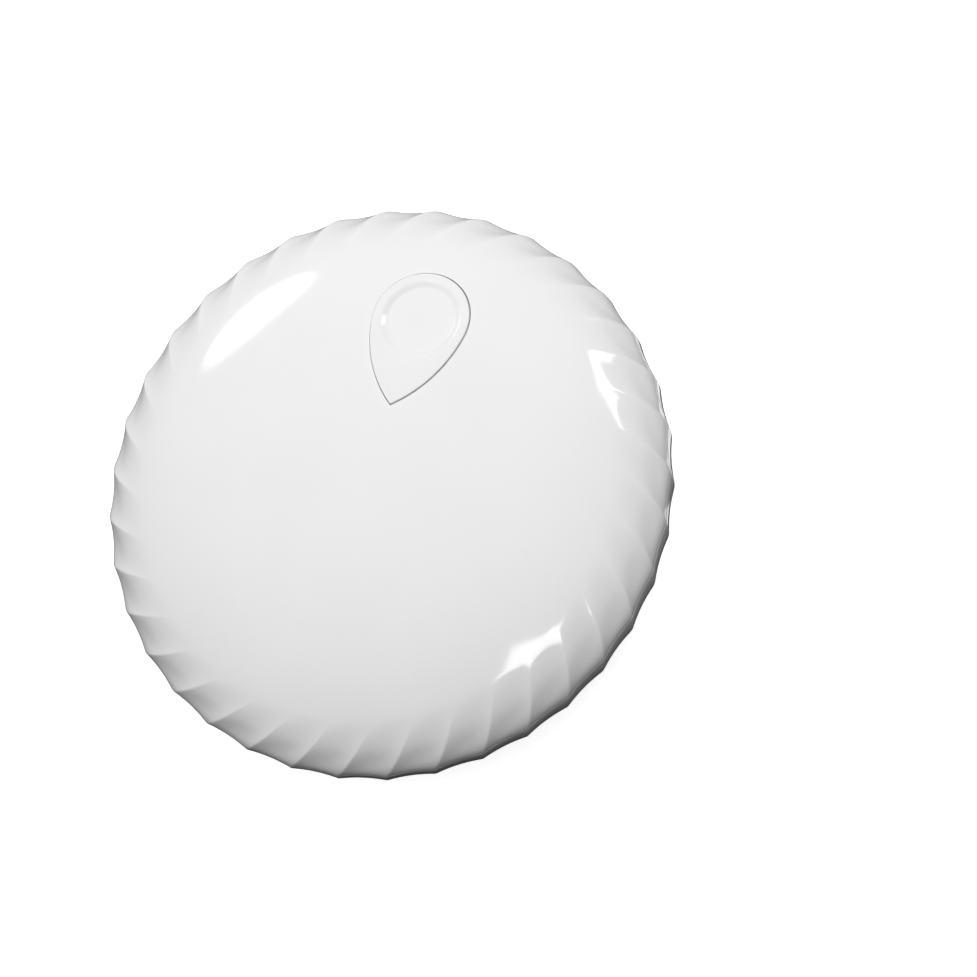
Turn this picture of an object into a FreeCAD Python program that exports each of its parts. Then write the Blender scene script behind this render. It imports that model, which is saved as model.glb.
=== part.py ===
# Round bluetooth tracker tag: a twisted, fluted rim, a pin-shaped push button and a battery door
# that twists out of the back.
# Millimetres. The tag lies on its back: z = 0 is the resting face, +Z is out through the domed front,
# the Z axis is the tag's own axis and the button sits towards +Y.
import FreeCAD
import Part

import math
import os

Vec = FreeCAD.Vector
AXIS_Z = Vec(0, 0, 1)
CENTRE = Vec(0, 0, 0)

# Case: the front is a superellipse dome, the back a rounded flank that runs into the flat resting ring.
rim_radius = 18.0
seam_z = 4.3
dome_height = 4.5
dome_power = 2.2
rest_ring_radius = 13.4
back_power = 2.2
apex_disc_radius = 0.6
case_height = seam_z + dome_height

# Flutes: scoops cut between sharp ridges, which swirl round the rim as they climb.
flute_count = 36
flute_depth = 0.17
flute_phase_deg = 7.0
front_slant = 0.78
back_slant = 0.25
front_swell = 0.4
swell_run = 2.4
slanted_run = 6.0
front_fade_radius = 15.0
flute_full_radius = 17.7
back_fade_radius = 14.0
patch_rows = 26
patch_columns = 7

# Joint between the two shells: a lip on the front goes down inside the back, onto a rubber ring.
cavity_radius = 16.0
cavity_height = 3.3
lip_outer_radius = 16.7
lip_depth = 1.0
lip_clearance = 0.08
seam_ledge_z = 2.7
seam_ledge_radius = 15.6
seam_ring_radius = 16.3
seam_ring_section = 0.29
screw_post_radius = 1.4
screw_post_top_z = 6.7

# Battery door: a plate with a coin slot, and a skirt whose helical lugs turn in grooves in the back shell.
door_radius = 12.0
door_recess = 0.1
door_top_z = 0.9
door_clearance = 0.1
skirt_inner_radius = 10.3
skirt_outer_radius = 11.15
skirt_top_z = 3.05
bore_radius = 11.3
bore_wall_radius = 12.9
bore_top_z = 3.1
back_floor_z = 1.1
back_floor_radius = 14.5
lug_count = 3
lug_reach = 0.6
lug_height = 0.5
lug_low_z = 1.35
lug_half_span_deg = 9.0
lug_clearance = 0.08
thread_lead = 9.0
groove_start_deg = (door_top_z - lug_low_z - lug_height - lug_clearance) * 360 / thread_lead
release_deg = (lug_low_z + lug_height - door_top_z) * 360 / thread_lead + lug_half_span_deg
groove_spare_deg = 1.0
groove_spare_depth = 0.12
door_ring_radius = 11.03
door_ring_section = 0.25
door_ring_z = 2.6
coin_slot_length = 11.0
coin_slot_width = 1.7
coin_slot_depth = 0.4
dot_radius = 0.35
dot_depth = 0.12

# Coin cell, 20 mm across and 3.2 mm thick, positive can towards the door.
cell_radius = 10.0
cell_low_z = 1.15
cell_height = 3.2
cell_top_z = cell_low_z + cell_height
can_wall = 0.25
core_gap = 0.02

# Circuit board and the frame under it.
board_low_z = 4.75
board_thickness = 0.6
board_top_z = board_low_z + board_thickness
board_radius = 14.6
frame_low_z = bore_top_z
frame_floor_z = 3.6
frame_inner_radius = 10.15
frame_wall = 0.8
frame_post_radius = 1.5
screw_circle_radius = 13.0
screw_angles_deg = (30.0, 150.0, 270.0)
screw_places = [
    (screw_circle_radius * math.cos(math.radians(a)), screw_circle_radius * math.sin(math.radians(a)))
    for a in screw_angles_deg
]
screw_shank_radius = 0.5
screw_head_radius = 0.9
screw_tip_z = 6.45
strip_thickness = 0.15
contact_gap = 0.02
contact_width = 3.0

# Parts on the board: heights above it.
shield_can_height = 0.8
shield_can_wall = 0.15
chip_height = 0.5
sensor_height = 0.8
watch_crystal_height = 0.75
antenna_height = 0.6
capacitor_height = 0.9
passive_height = 0.35

# Pin button: a round head with a finger dish, two curved sides and a point towards the tag's centre.
pin_head_y = 10.28
pin_head_radius = 3.08
pin_length = 5.7
pin_tangent_deg = 8.0
pin_raise = 0.1
pin_gap = 0.05
pin_flange = 0.5
pin_flange_low_z = 5.9
pin_flange_top_z = 6.3
collar_low_z = 6.35
collar_reach = 1.0
dish_radius = 2.6
dish_floor_radius = 2.15
dish_depth = 0.22
seal_wall_inner = 0.6
seal_floor = 0.18
seal_low_z = 5.7
seal_clearance = 0.05
snap_dome_radius = 2.0
snap_dome_height = 0.3
snap_dome_gauge = 0.08

# Sounder: a piezo plate taped to a ring inside the front shell.
sounder_y = -3.0
sounder_radius = 6.25
sounder_seat_inner = 5.3
sounder_seat_z = 6.95
sounder_seat_top_z = 7.9
tape_thickness = 0.1
plate_thickness = 0.15
ceramic_radius = 4.5
ceramic_thickness = 0.1


def smooth(value):
    """0 below 0, 1 above 1, and an even S between."""
    value = min(1.0, max(0.0, value))
    return value * value * (3 - 2 * value)


def front_profile(angle):
    """Radius and height on the dome: angle 0 is the seam and 90 degrees the apex."""
    radius = rim_radius * math.cos(angle) ** (2 / dome_power)
    return radius, seam_z + dome_height * math.sin(angle)


def back_profile(angle):
    """Radius and height on the back flank: angle 0 is the seam and 90 degrees the resting ring."""
    reach = rim_radius - rest_ring_radius
    radius = rest_ring_radius + reach * max(0.0, math.cos(angle)) ** (2 / back_power)
    return radius, seam_z * (1 - math.sin(angle) ** (2 / back_power))


def profile_rows(profile, last_angle, side):
    """Rows down one profile: radius, height, outward normal and distance run from the seam."""
    rows = []
    run = 0.0
    step = 1e-5
    for i in range(patch_rows):
        angle = last_angle * i / (patch_rows - 1)
        radius, height = profile(angle)
        if rows:
            run += math.hypot(radius - rows[-1][0], height - rows[-1][1])
        near = profile(max(0.0, angle - step))
        far = profile(min(last_angle, angle + step))
        dr, dz = far[0] - near[0], far[1] - near[1]
        size = math.hypot(dr, dz)
        normal = (1.0, 0.0) if i == 0 else (side * dz / size, -side * dr / size)
        rows.append((radius, height, normal, run))
    return rows


def flute_patch(rows, slant, swell, fade_radius):
    """One flute as a spline face: a slanted scoop between two ridges, deepest a little off the seam."""
    grid = []
    for radius, height, normal, run in rows:
        depth = flute_depth * smooth((radius - fade_radius) / (flute_full_radius - fade_radius))
        depth *= 1 + swell * math.sin(math.pi * min(run / swell_run, 1.0)) ** 2
        swirl = slant * min(run, slanted_run) / rim_radius
        line = []
        for column in range(patch_columns):
            u = column / (patch_columns - 1) - 0.5
            scoop = depth * (1 - 4 * u * u)
            turn = math.radians(flute_phase_deg) + 2 * math.pi * (u + 0.5) / flute_count + swirl
            r = radius - scoop * normal[0]
            line.append(Vec(r * math.cos(turn), r * math.sin(turn), height - scoop * normal[1]))
        grid.append(line)
    surface = Part.BSplineSurface()
    surface.interpolate(grid)
    return surface.toShape()


def closed_solid(faces):
    """Faces sewn into one solid with its material inside."""
    shell = Part.makeShell(faces)
    shell.sewShape()
    solid = Part.Solid(shell.Shells[0])
    if solid.Volume < 0:
        solid.reverse()
    return solid


def fluted_solid(profile, last_angle, side, slant, swell, fade_radius):
    """A closed half case: the flutes all round, closed by flat faces at the seam and at the far end."""
    rows = profile_rows(profile, last_angle, side)
    patch = flute_patch(rows, side * slant, swell, fade_radius)
    faces = []
    for k in range(flute_count):
        face = patch.copy()
        face.rotate(CENTRE, AXIS_Z, 360.0 * k / flute_count)
        faces.append(face)
    edges = [edge for face in faces for edge in face.Edges]
    for level in (rows[0][1], rows[-1][1]):
        rim = [e for e in edges if max(abs(e.BoundBox.ZMin - level), abs(e.BoundBox.ZMax - level)) < 1e-4]
        faces.append(Part.Face(Part.Wire(Part.__sortEdges__(rim))))
    return closed_solid(faces)


def turned(points):
    """A closed outline of (radius, height) points, turned about the Z axis."""
    corners = [Vec(r, 0, z) for r, z in points]
    face = Part.Face(Part.makePolygon(corners + corners[:1]))
    return face.revolve(CENTRE, AXIS_Z, 360)


def disc(radius, low, high, x=0.0, y=0.0):
    return Part.makeCylinder(radius, high - low, Vec(x, y, low))


def ring(inner, outer, low, high, x=0.0, y=0.0):
    return disc(outer, low, high, x, y).cut(disc(inner, low - 1, high + 1, x, y))


def block(x, y, length, width, low, high, turn_deg=0.0):
    shape = Part.makeBox(length, width, high - low, Vec(-length / 2, -width / 2, low))
    shape.rotate(CENTRE, AXIS_Z, turn_deg)
    shape.translate(Vec(x, y, 0))
    return shape


def strip(points, width, x=0.0, y=0.0, turn_deg=0.0):
    """Bent sheet: an (x, z) outline extruded across its width."""
    corners = [Vec(px, -width / 2, pz) for px, pz in points]
    shape = Part.Face(Part.makePolygon(corners + corners[:1])).extrude(Vec(0, width, 0))
    shape.rotate(CENTRE, AXIS_Z, turn_deg)
    shape.translate(Vec(x, y, 0))
    return shape


def on_circle(radius, angle_deg):
    return radius * math.cos(math.radians(angle_deg)), radius * math.sin(math.radians(angle_deg))


def dome_solid(radius, height, lift=0.0):
    """A smooth dome with no flutes, closed flat at the seam."""
    points = []
    for i in range(31):
        angle = math.pi / 2 * i / 30
        r = radius * max(0.0, math.cos(angle)) ** (2 / dome_power)
        points.append(Vec(r, 0, seam_z + lift + height * math.sin(angle)))
    curve = Part.BSplineCurve()
    curve.interpolate(points)
    low = seam_z + lift
    floor = Part.makeLine(Vec(0, 0, low), points[0])
    axis = Part.makeLine(points[-1], Vec(0, 0, low))
    face = Part.Face(Part.Wire([floor, curve.toShape(), axis]))
    return face.revolve(CENTRE, AXIS_Z, 360)


def helical_band(inner, outer, low, height, start_deg, span_deg):
    """A block bent along a right-handed helix: it climbs by the thread lead over a full turn."""
    rise = thread_lead * span_deg / 360
    lines = {}
    for radius in (inner, outer):
        for level in (0.0, height):
            helix = Part.makeHelix(thread_lead, rise, radius)
            helix.translate(Vec(0, 0, low + level))
            lines[radius, level] = helix.Edges[0]
    corners = [(inner, 0.0), (outer, 0.0), (outer, height), (inner, height)]
    sides = [Part.makeRuledSurface(lines[corners[i]], lines[corners[(i + 1) % 4]]) for i in range(4)]
    ends = []
    for at_end in (0, 1):
        points = [lines[c].valueAt(lines[c].ParameterRange[at_end]) for c in corners]
        ends.append(Part.Face(Part.makePolygon(points + points[:1])))
    solid = closed_solid(sides + ends)
    solid.rotate(CENTRE, AXIS_Z, start_deg)
    return solid


def pin_prism(offset, low, high):
    """The button's outline, grown by an offset: a head arc and two side arcs that meet in a point."""
    lean = math.radians(pin_tangent_deg)
    a, length = pin_head_radius, pin_length
    side = (a * a + length * length - 2 * a * length * math.sin(lean)) / (2 * (a - length * math.sin(lean)))
    cx, cy = (side - a) * math.cos(lean), (side - a) * math.sin(lean)
    head, arc = a + offset, side + offset
    start = Vec(head * math.cos(lean), -head * math.sin(lean), 0)
    tip = Vec(0, cy - math.sqrt(arc * arc - cx * cx), 0)
    middle_angle = (-lean + math.atan2(tip.y - cy, cx)) / 2
    middle = Vec(-cx + arc * math.cos(middle_angle), cy + arc * math.sin(middle_angle), 0)
    edges = [
        Part.Arc(start, Vec(0, head, 0), Vec(-start.x, start.y, 0)).toShape(),
        Part.Arc(Vec(-start.x, start.y, 0), Vec(-middle.x, middle.y, 0), tip).toShape(),
        Part.Arc(tip, middle, start).toShape(),
    ]
    face = Part.Face(Part.Wire(edges))
    face.translate(Vec(0, pin_head_y, low))
    return face.extrude(Vec(0, 0, high - low))


def front_shell():
    last = math.acos((apex_disc_radius / rim_radius) ** (dome_power / 2))
    outer = fluted_solid(front_profile, last, 1, front_slant, front_swell, front_fade_radius)
    shell = outer.cut(dome_solid(cavity_radius, cavity_height))
    inside = [ring(cavity_radius, lip_outer_radius, seam_z - lip_depth, seam_z)]
    seat = ring(sounder_seat_inner, sounder_radius, sounder_seat_z, sounder_seat_top_z, 0, sounder_y)
    inside.append(seat)
    inside.append(pin_prism(collar_reach, collar_low_z, case_height).common(outer))
    for x, y in screw_places:
        inside.append(disc(screw_post_radius, board_top_z, screw_post_top_z, x, y))
    shell = shell.fuse(inside)
    shell = shell.cut(pin_prism(collar_reach + seal_clearance, board_top_z - seal_clearance, collar_low_z))
    shell = shell.cut(pin_prism(pin_gap, board_top_z, case_height + 1))
    for x, y in screw_places:
        shell = shell.cut(disc(screw_shank_radius + 0.02, board_top_z - 1, screw_tip_z + 0.1, x, y))
    return shell


def pin_button():
    raised_dome = dome_solid(rim_radius, dome_height, pin_raise)
    key = pin_prism(0, pin_flange_low_z, case_height + 1).common(raised_dome)
    reach = pin_head_y / rim_radius
    rise = math.sqrt(1 - reach ** dome_power)
    steepness = dome_height * dome_power * reach ** (dome_power - 1) / (2 * rim_radius * rise)
    slope = math.degrees(math.atan(steepness))
    surface_z = seam_z + dome_height * rise + pin_raise
    mouth = 2 * dish_radius - dish_floor_radius
    tool = Part.makeCone(dish_floor_radius, mouth, 2 * dish_depth, Vec(0, 0, -dish_depth))
    tool.rotate(CENTRE, Vec(1, 0, 0), -slope)
    tool.translate(Vec(0, pin_head_y, surface_z))
    return key.cut(tool).fuse(pin_prism(pin_flange, pin_flange_low_z, pin_flange_top_z))


def button_seal():
    boot = pin_prism(collar_reach, seal_low_z, collar_low_z - contact_gap)
    return boot.cut(pin_prism(seal_wall_inner, seal_low_z + seal_floor, collar_low_z + 1))


def snap_dome():
    """A thin sprung cap of stainless sheet that clicks down onto the board."""
    radius = (snap_dome_radius ** 2 + snap_dome_height ** 2) / (2 * snap_dome_height)
    centre = Vec(0, pin_head_y, board_top_z + snap_dome_height - radius)
    cap = Part.makeSphere(radius, centre).cut(Part.makeSphere(radius - snap_dome_gauge, centre))
    return cap.common(disc(snap_dome_radius + 1, board_top_z, board_top_z + 1, 0, pin_head_y))


def back_shell():
    shell = fluted_solid(back_profile, math.pi / 2, -1, back_slant, 0.0, back_fade_radius)
    inner = lip_outer_radius + lip_clearance
    cavity = [
        (0, bore_top_z),
        (bore_wall_radius, bore_top_z),
        (bore_wall_radius, back_floor_z),
        (back_floor_radius, back_floor_z),
        (seam_ledge_radius, seam_ledge_z),
        (inner, seam_ledge_z),
        (inner, seam_z + 1),
        (0, seam_z + 1),
    ]
    shell = shell.cut(turned(cavity))
    shell = shell.cut(disc(bore_radius, -1, bore_top_z + 1))
    shell = shell.cut(disc(door_radius + door_clearance, -1, door_top_z))
    span = lug_half_span_deg + groove_spare_deg - groove_start_deg
    low = lug_low_z - lug_clearance + thread_lead * groove_start_deg / 360
    outer = skirt_outer_radius + lug_reach + groove_spare_depth
    for k in range(lug_count):
        groove = helical_band(bore_radius - 0.2, outer, low, lug_height + 2 * lug_clearance,
                              groove_start_deg + 360 * k / lug_count, span)
        shell = shell.cut(groove)
    for angle in (-90.0, -90.0 - release_deg):
        x, y = on_circle((door_radius + rest_ring_radius) / 2 + 0.05, angle)
        shell = shell.cut(disc(dot_radius, -1, dot_depth, x, y))
    return shell


def battery_door():
    plate = disc(door_radius, door_recess, door_top_z)
    plate = plate.fuse(ring(skirt_inner_radius, skirt_outer_radius, door_top_z, skirt_top_z))
    groove_half = door_ring_section + 0.03
    plate = plate.cut(ring(door_ring_radius - door_ring_section - 0.02, skirt_outer_radius + 1,
                           door_ring_z - groove_half, door_ring_z + groove_half))
    for k in range(lug_count):
        low = lug_low_z - thread_lead * lug_half_span_deg / 360
        lug = helical_band(skirt_outer_radius - 0.2, skirt_outer_radius + lug_reach, low, lug_height,
                           360 * k / lug_count - lug_half_span_deg, 2 * lug_half_span_deg)
        plate = plate.fuse(lug)
    slot_top = door_recess + coin_slot_depth
    slot_straight = coin_slot_length - coin_slot_width
    slot = block(0, 0, slot_straight, coin_slot_width, -1, slot_top)
    for end in (-1, 1):
        slot = slot.fuse(disc(coin_slot_width / 2, -1, slot_top, end * slot_straight / 2))
    plate = plate.cut(slot)
    return plate.cut(disc(dot_radius, -1, door_recess + dot_depth, 0, 1.0 - door_radius))


def inner_frame():
    frame = ring(frame_inner_radius, board_radius, frame_low_z, board_low_z)
    inner = frame_inner_radius + frame_wall
    channel = ring(inner, board_radius - frame_wall, frame_floor_z, board_low_z + 1)
    for x, y in screw_places:
        channel = channel.cut(disc(frame_post_radius, frame_floor_z - 1, board_low_z + 2, x, y))
    frame = frame.cut(channel)
    for x, y in screw_places:
        frame = frame.cut(disc(screw_shank_radius + 0.05, frame_low_z - 1, board_low_z + 1, x, y))
        frame = frame.cut(disc(screw_head_radius + 0.1, frame_low_z - 1, frame_floor_z, x, y))
    return frame.cut(block(-10.75, 0, 1.9, 3.6, frame_low_z - 1, board_low_z + 1))


def circuit_board():
    board = disc(board_radius, board_low_z, board_top_z)
    for x, y in screw_places:
        board = board.cut(disc(screw_shank_radius + 0.1, board_low_z - 1, board_top_z + 1, x, y))
    notch_x, notch_y = on_circle(board_radius, -45.0)
    return board.cut(disc(0.8, board_low_z - 1, board_top_z + 1, notch_x, notch_y))


def board_screws():
    screws = []
    for x, y in screw_places:
        head = disc(screw_head_radius, frame_low_z + contact_gap, frame_floor_z, x, y)
        for cross in (0, 90):
            head = head.cut(block(x, y, 1.1, 0.25, frame_low_z - 1, frame_low_z + 0.25, cross))
        screws.append(head.fuse(disc(screw_shank_radius, frame_floor_z, screw_tip_z, x, y)))
    return Part.makeCompound(screws)


def shield_can():
    high = board_top_z + shield_can_height
    can = block(-5, -5, 8, 7, board_top_z, high)
    inner = (8 - 2 * shield_can_wall, 7 - 2 * shield_can_wall)
    return can.cut(block(-5, -5, *inner, board_top_z - 1, high - shield_can_wall))


def board_passives():
    """The small resistors and capacitors, in short rows round the larger parts."""
    places = [(-9.6 + 1.5 * i, 1.4, 90) for i in range(5)]
    places += [(-4.6 + 1.5 * i, 6.2, 90) for i in range(2)]
    places += [(7.2 + 1.4 * i, -9.0, 90) for i in range(2)]
    places += [(4.5, 2.0 + 1.1 * i, 0) for i in range(3)]
    places += [(-6.5, 8.2 + 1.1 * i, 0) for i in range(3)]
    high = board_top_z + passive_height
    return Part.makeCompound([block(x, y, 1.0, 0.5, board_top_z, high, t) for x, y, t in places])


def sounder_springs():
    """Two sprung clips that stand on the board and press on the plate and on the ceramic."""
    ceramic_z = sounder_seat_z - tape_thickness - plate_thickness - ceramic_thickness
    clips = []
    for x, touch in ((0.4, ceramic_z), (4.2, ceramic_z + ceramic_thickness)):
        low, high = board_top_z, touch - contact_gap
        t = strip_thickness
        outline = [
            (0, low),
            (1.9, low),
            (1.9, low + t),
            (t, low + t),
            (t, high - 0.35),
            (1.2, high - t),
            (1.6, high - t),
            (1.6, high),
            (1.15, high),
            (0, high - 0.3),
        ]
        clips.append(strip(outline, 0.9, x, sounder_y))
    return Part.makeCompound(clips)


def positive_contact():
    """A strip under the board that turns down and bears on the side of the cell."""
    near, far = -cell_radius - contact_gap, -12.2
    t = strip_thickness
    foot = 3.25
    outline = [
        (far, board_low_z - t),
        (near - t, board_low_z - t),
        (near - t, foot),
        (near, foot),
        (near, board_low_z),
        (far, board_low_z),
    ]
    return strip(outline, contact_width)


def negative_contact():
    """A sprung strip under the board whose two arms bear on the cell's cap."""
    low, foot = cell_top_z + contact_gap, board_low_z - strip_thickness
    half = [
        (1.5, foot),
        (4.4, low),
        (5.2, low),
        (5.2, low + strip_thickness),
        (4.45, low + strip_thickness),
        (1.5, board_low_z),
    ]
    mirrored = [(-x, z) for x, z in reversed(half)]
    return strip(half + mirrored, 2.4)


def coin_cell():
    """The cell's four pieces: can, gasket, cap and core."""
    low, top, r = cell_low_z, cell_top_z, cell_radius
    floor = low + can_wall
    can = turned([
        (0, low),
        (r - 0.2, low),
        (r, low + 0.2),
        (r, top - 0.2),
        (r - 0.15, top - 0.05),
        (r - 0.7, top - 0.05),
        (r - 0.7, top - 0.25),
        (r - can_wall, top - 0.25),
        (r - can_wall, floor),
        (0, floor),
    ])
    gasket = turned([(9.0, 3.4), (9.73, 3.4), (9.73, 4.08), (9.28, 4.08), (9.28, 4.28), (9.0, 4.28)])
    cap = turned([
        (0, 4.1),
        (8.3, 4.1),
        (8.75, 3.85),
        (8.75, 3.45),
        (8.98, 3.45),
        (8.98, 4.0),
        (8.5, top),
        (0, top),
    ])
    core = turned([
        (0, floor + core_gap),
        (9.7, floor + core_gap),
        (9.7, 3.38),
        (8.7, 3.38),
        (8.7, 3.83),
        (8.28, 4.08),
        (0, 4.08),
    ])
    return {
        "coin_cell_can": can,
        "coin_cell_gasket": gasket,
        "coin_cell_cap": cap,
        "coin_cell_core": core,
    }


def torus(radius, section, level):
    return Part.makeTorus(radius, section, Vec(0, 0, level))


def all_parts():
    tape_low = sounder_seat_z - tape_thickness
    plate_low = tape_low - plate_thickness
    watch_crystal_top = board_top_z + watch_crystal_height
    capacitor_top = board_top_z + capacitor_height
    capacitors = [block(8.8, y, 3.2, 2.5, board_top_z, capacitor_top) for y in (-2.2, 1.4)]
    parts = {
        "front_shell": front_shell(),
        "pin_button": pin_button(),
        "button_seal": button_seal(),
        "snap_dome": snap_dome(),
        "back_shell": back_shell(),
        "seam_ring": torus(seam_ring_radius, seam_ring_section, (seam_ledge_z + seam_z - lip_depth) / 2),
        "battery_door": battery_door(),
        "door_ring": torus(door_ring_radius, door_ring_section, door_ring_z),
        "battery_pad": disc(9.0, door_top_z, cell_low_z - contact_gap),
        "inner_frame": inner_frame(),
        "circuit_board": circuit_board(),
        "board_screws": board_screws(),
        "shield_can": shield_can(),
        "radio_chip": block(-5.6, -5, 5, 5, board_top_z, board_top_z + chip_height),
        "main_crystal": block(-2.1, -3.4, 1.6, 2.0, board_top_z, board_top_z + chip_height),
        "watch_crystal": block(3.6, -9.4, 3.2, 1.5, board_top_z, watch_crystal_top),
        "motion_sensor": block(-1.6, 2.6, 2.0, 2.0, board_top_z, board_top_z + sensor_height),
        "chip_antenna": block(10.4, -5.4, 3.2, 1.6, board_top_z, board_top_z + antenna_height, 62),
        "storage_capacitors": Part.makeCompound(capacitors),
        "board_passives": board_passives(),
        "sounder_tape": ring(sounder_seat_inner, sounder_radius, tape_low, sounder_seat_z, 0, sounder_y),
        "sounder_plate": disc(sounder_radius, plate_low, plate_low + plate_thickness, 0, sounder_y),
        "sounder_ceramic": disc(ceramic_radius, plate_low - ceramic_thickness, plate_low, 0, sounder_y),
        "sounder_springs": sounder_springs(),
        "positive_contact": positive_contact(),
        "negative_contact": negative_contact(),
    }
    parts.update(coin_cell())
    return parts


os.makedirs("parts", exist_ok=True)
for name, shape in all_parts().items():
    state = "valid" if shape.isValid() else "NOT VALID"
    print(name, state, len(shape.Solids), "solids", round(shape.Volume, 2))
    shape.exportStep("parts/" + name + ".step")
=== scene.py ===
import math

import bpy
import numpy as np
from mathutils import Matrix, Vector


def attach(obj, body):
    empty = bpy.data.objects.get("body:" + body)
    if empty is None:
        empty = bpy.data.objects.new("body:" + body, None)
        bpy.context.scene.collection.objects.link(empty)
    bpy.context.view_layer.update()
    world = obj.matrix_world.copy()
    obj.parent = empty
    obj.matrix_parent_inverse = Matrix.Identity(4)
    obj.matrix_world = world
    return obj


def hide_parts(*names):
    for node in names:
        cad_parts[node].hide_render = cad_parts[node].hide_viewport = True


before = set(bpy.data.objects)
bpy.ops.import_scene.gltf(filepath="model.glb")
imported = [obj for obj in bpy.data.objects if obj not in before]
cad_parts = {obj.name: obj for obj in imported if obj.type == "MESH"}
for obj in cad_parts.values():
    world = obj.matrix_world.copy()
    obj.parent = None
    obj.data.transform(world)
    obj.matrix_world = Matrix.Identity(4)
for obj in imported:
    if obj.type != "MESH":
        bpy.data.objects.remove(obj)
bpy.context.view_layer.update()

mm = 0.001
turn = 2 * math.pi

# The case's own sizes in millimetres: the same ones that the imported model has.
case = {
    "rim": 18.0,
    "seam": 4.3,
    "dome": 4.5,
    "power": 2.2,
    "restRing": 13.4,
    "flutes": 36,
    "fluteDepth": 0.17,
    "flutePhase": math.radians(7),
    "swell": 0.4,
    "swellRun": 2.4,
    "frontSlant": 0.78,
    "backSlant": 0.25,
    "slantRun": 6.0,
    "frontFade": 15.0,
    "backFade": 14.0,
    "fullFlute": 17.7,
    "ridgeRound": 0.016,
}


def smoothStep(value):
    # 0 below 0, 1 above 1, and 3x^2 - 2x^3 between
    value = np.clip(value, 0, 1)
    return value * value * (3 - 2 * value)


def makeMesh(name, points, faces):
    # points in millimetres, faces as a list of index arrays that are each n x 3 or n x 4
    mesh = bpy.data.meshes.new(name)
    mesh.vertices.add(len(points))
    mesh.vertices.foreach_set("co", (np.asarray(points, np.float64) * mm).astype(np.float32).ravel())
    loops = np.concatenate([f.ravel() for f in faces])
    sizes = np.concatenate([np.full(len(f), f.shape[1]) for f in faces])
    mesh.loops.add(len(loops))
    mesh.loops.foreach_set("vertex_index", loops.astype(np.int32))
    mesh.polygons.add(len(sizes))
    mesh.polygons.foreach_set("loop_start", (np.cumsum(sizes) - sizes).astype(np.int32))
    mesh.polygons.foreach_set("use_smooth", np.ones(len(sizes), bool))
    mesh.update(calc_edges=True)
    mesh.validate()
    return mesh


def insideVolume(points, faces):
    # six times the signed volume, positive when the faces point outwards
    total = 0.0
    for f in faces:
        for k in range(1, f.shape[1] - 1):
            a, b, c = points[f[:, 0]], points[f[:, k]], points[f[:, k + 1]]
            total += np.sum(a * np.cross(b, c))
    return total


def gridSurface(grid, loopRows=False, poleFirst=False, poleLast=False):
    # A grid of rows x columns x 3 whose columns close on themselves. The rows close too, or end in a
    # pole, where a row is one point and a fan of triangles closes the surface.
    rows, columns = grid.shape[:2]
    points = grid.reshape(-1, 3)
    lower = np.arange(rows if loopRows else rows - 1)
    i, j = np.meshgrid(lower, np.arange(columns), indexing="ij")
    i2, j2 = (i + 1) % rows, (j + 1) % columns
    quads = np.stack([i * columns + j, i * columns + j2, i2 * columns + j2, i2 * columns + j], -1)
    faces = [quads.reshape(-1, 4)]
    around = np.arange(columns)
    for wanted, row, flip in ((poleFirst, 0, True), (poleLast, rows - 1, False)):
        if wanted:
            centre = len(points)
            points = np.vstack([points, grid[row].mean(0)])
            a, b = row * columns + around, row * columns + (around + 1) % columns
            fan = np.stack([b, a, np.full(columns, centre)] if flip else [a, b, np.full(columns, centre)], -1)
            faces.append(fan)
    if insideVolume(points, faces) < 0:
        faces = [f[:, ::-1] for f in faces]
    return points, faces


def joinSurfaces(surfaces):
    points, faces, start = [], [], 0
    for somePoints, someFaces in surfaces:
        points.append(somePoints)
        faces += [f + start for f in someFaces]
        start += len(somePoints)
    return np.vstack(points), faces


def addPiece(name, surfaces, body, material, replaced=()):
    points, faces = joinSurfaces(surfaces)
    mesh = makeMesh(name, points, faces)
    mesh.materials.append(material)
    piece = bpy.data.objects.new(name, mesh)
    bpy.context.scene.collection.objects.link(piece)
    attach(piece, body)
    if replaced:
        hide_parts(*replaced)
    print("piece", name, sum(len(f) * (f.shape[1] - 2) for f in faces), "triangles")
    return piece


def roundedOutline(corners, closed=True, arcSteps=5, spacing=1.5):
    # corners are (radius, height, rounding). Each corner becomes an arc that is tangent to its two
    # sides, and each long side gets points at most one spacing apart and one close to either arc.
    corner = np.array([c[:2] for c in corners], float)
    count = len(corners)
    pieces = []
    for k in range(count):
        here, before, after = corner[k], corner[k - 1], corner[(k + 1) % count]
        ends = not closed and k in (0, count - 1)
        reach = corners[k][2]
        if ends or reach == 0:
            pieces.append(here[None])
            continue
        a, b = before - here, after - here
        a, b = a / np.linalg.norm(a), b / np.linalg.norm(b)
        half = math.acos(np.clip(a @ b, -1, 1)) / 2
        start = here + a * reach / math.tan(half)
        middle = (a + b) / np.linalg.norm(a + b)
        centre = here + middle * reach / math.sin(half)
        stop = here + b * reach / math.tan(half)
        t = np.linspace(0, 1, arcSteps + 1)[:, None]
        line = start * (1 - t) + stop * t - centre
        pieces.append(centre + line / np.linalg.norm(line, axis=1)[:, None] * reach)
    out = []
    for k in range(count if closed else count - 1):
        out.append(pieces[k])
        start, stop = pieces[k][-1], pieces[(k + 1) % count][0]
        length = np.linalg.norm(stop - start)
        near = min(0.08, length / 4)
        if length > 0.1:
            steps = max(1, math.ceil((length - 2 * near) / spacing))
            inner = np.linspace(near / length, 1 - near / length, steps + 1)[:, None]
            out.append(start * (1 - inner) + stop * inner)
    if not closed:
        out.append(pieces[-1])
    return np.vstack(out)


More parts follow.
